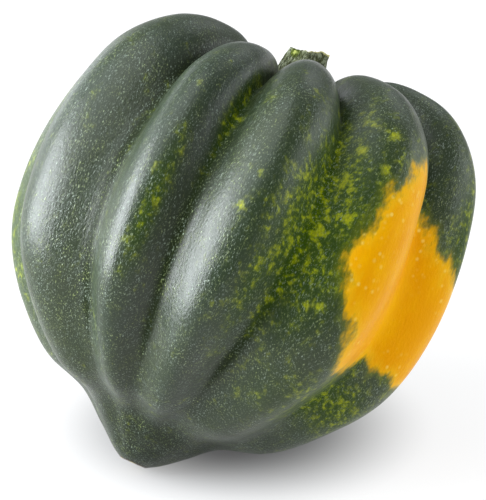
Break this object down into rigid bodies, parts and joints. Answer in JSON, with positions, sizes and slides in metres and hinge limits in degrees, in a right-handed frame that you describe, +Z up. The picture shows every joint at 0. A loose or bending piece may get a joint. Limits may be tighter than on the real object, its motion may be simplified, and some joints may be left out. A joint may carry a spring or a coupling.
{
  "type": "acorn squash",
  "caption": "Whole ribbed winter squash lying on its belly, with a pointed blossom end, an orange ground spot and a corky stem stub in the hollow at its top.",
  "frame": {"origin": "on the surface the squash rests on, under the middle of the fruit, which is also in its resting spot", "axes": "+Z up; +X the way the stem end leans over; the fruit's own axis stands 35.5 degrees from upright in the XZ plane, blossom end low at -X"},
  "size_m": [0.136, 0.1338, 0.131],
  "materials": {
    "rind": "waxy satin rind, dark green with pale specks, yellow-green mottling and an orange ground spot",
    "corky_stem": "dry, corky, grey-green stem, snapped off unevenly"
  },
  "bodies": {
    "root": {"fruit": "rind", "stem": "corky_stem"}
  },
  "joints": []
}
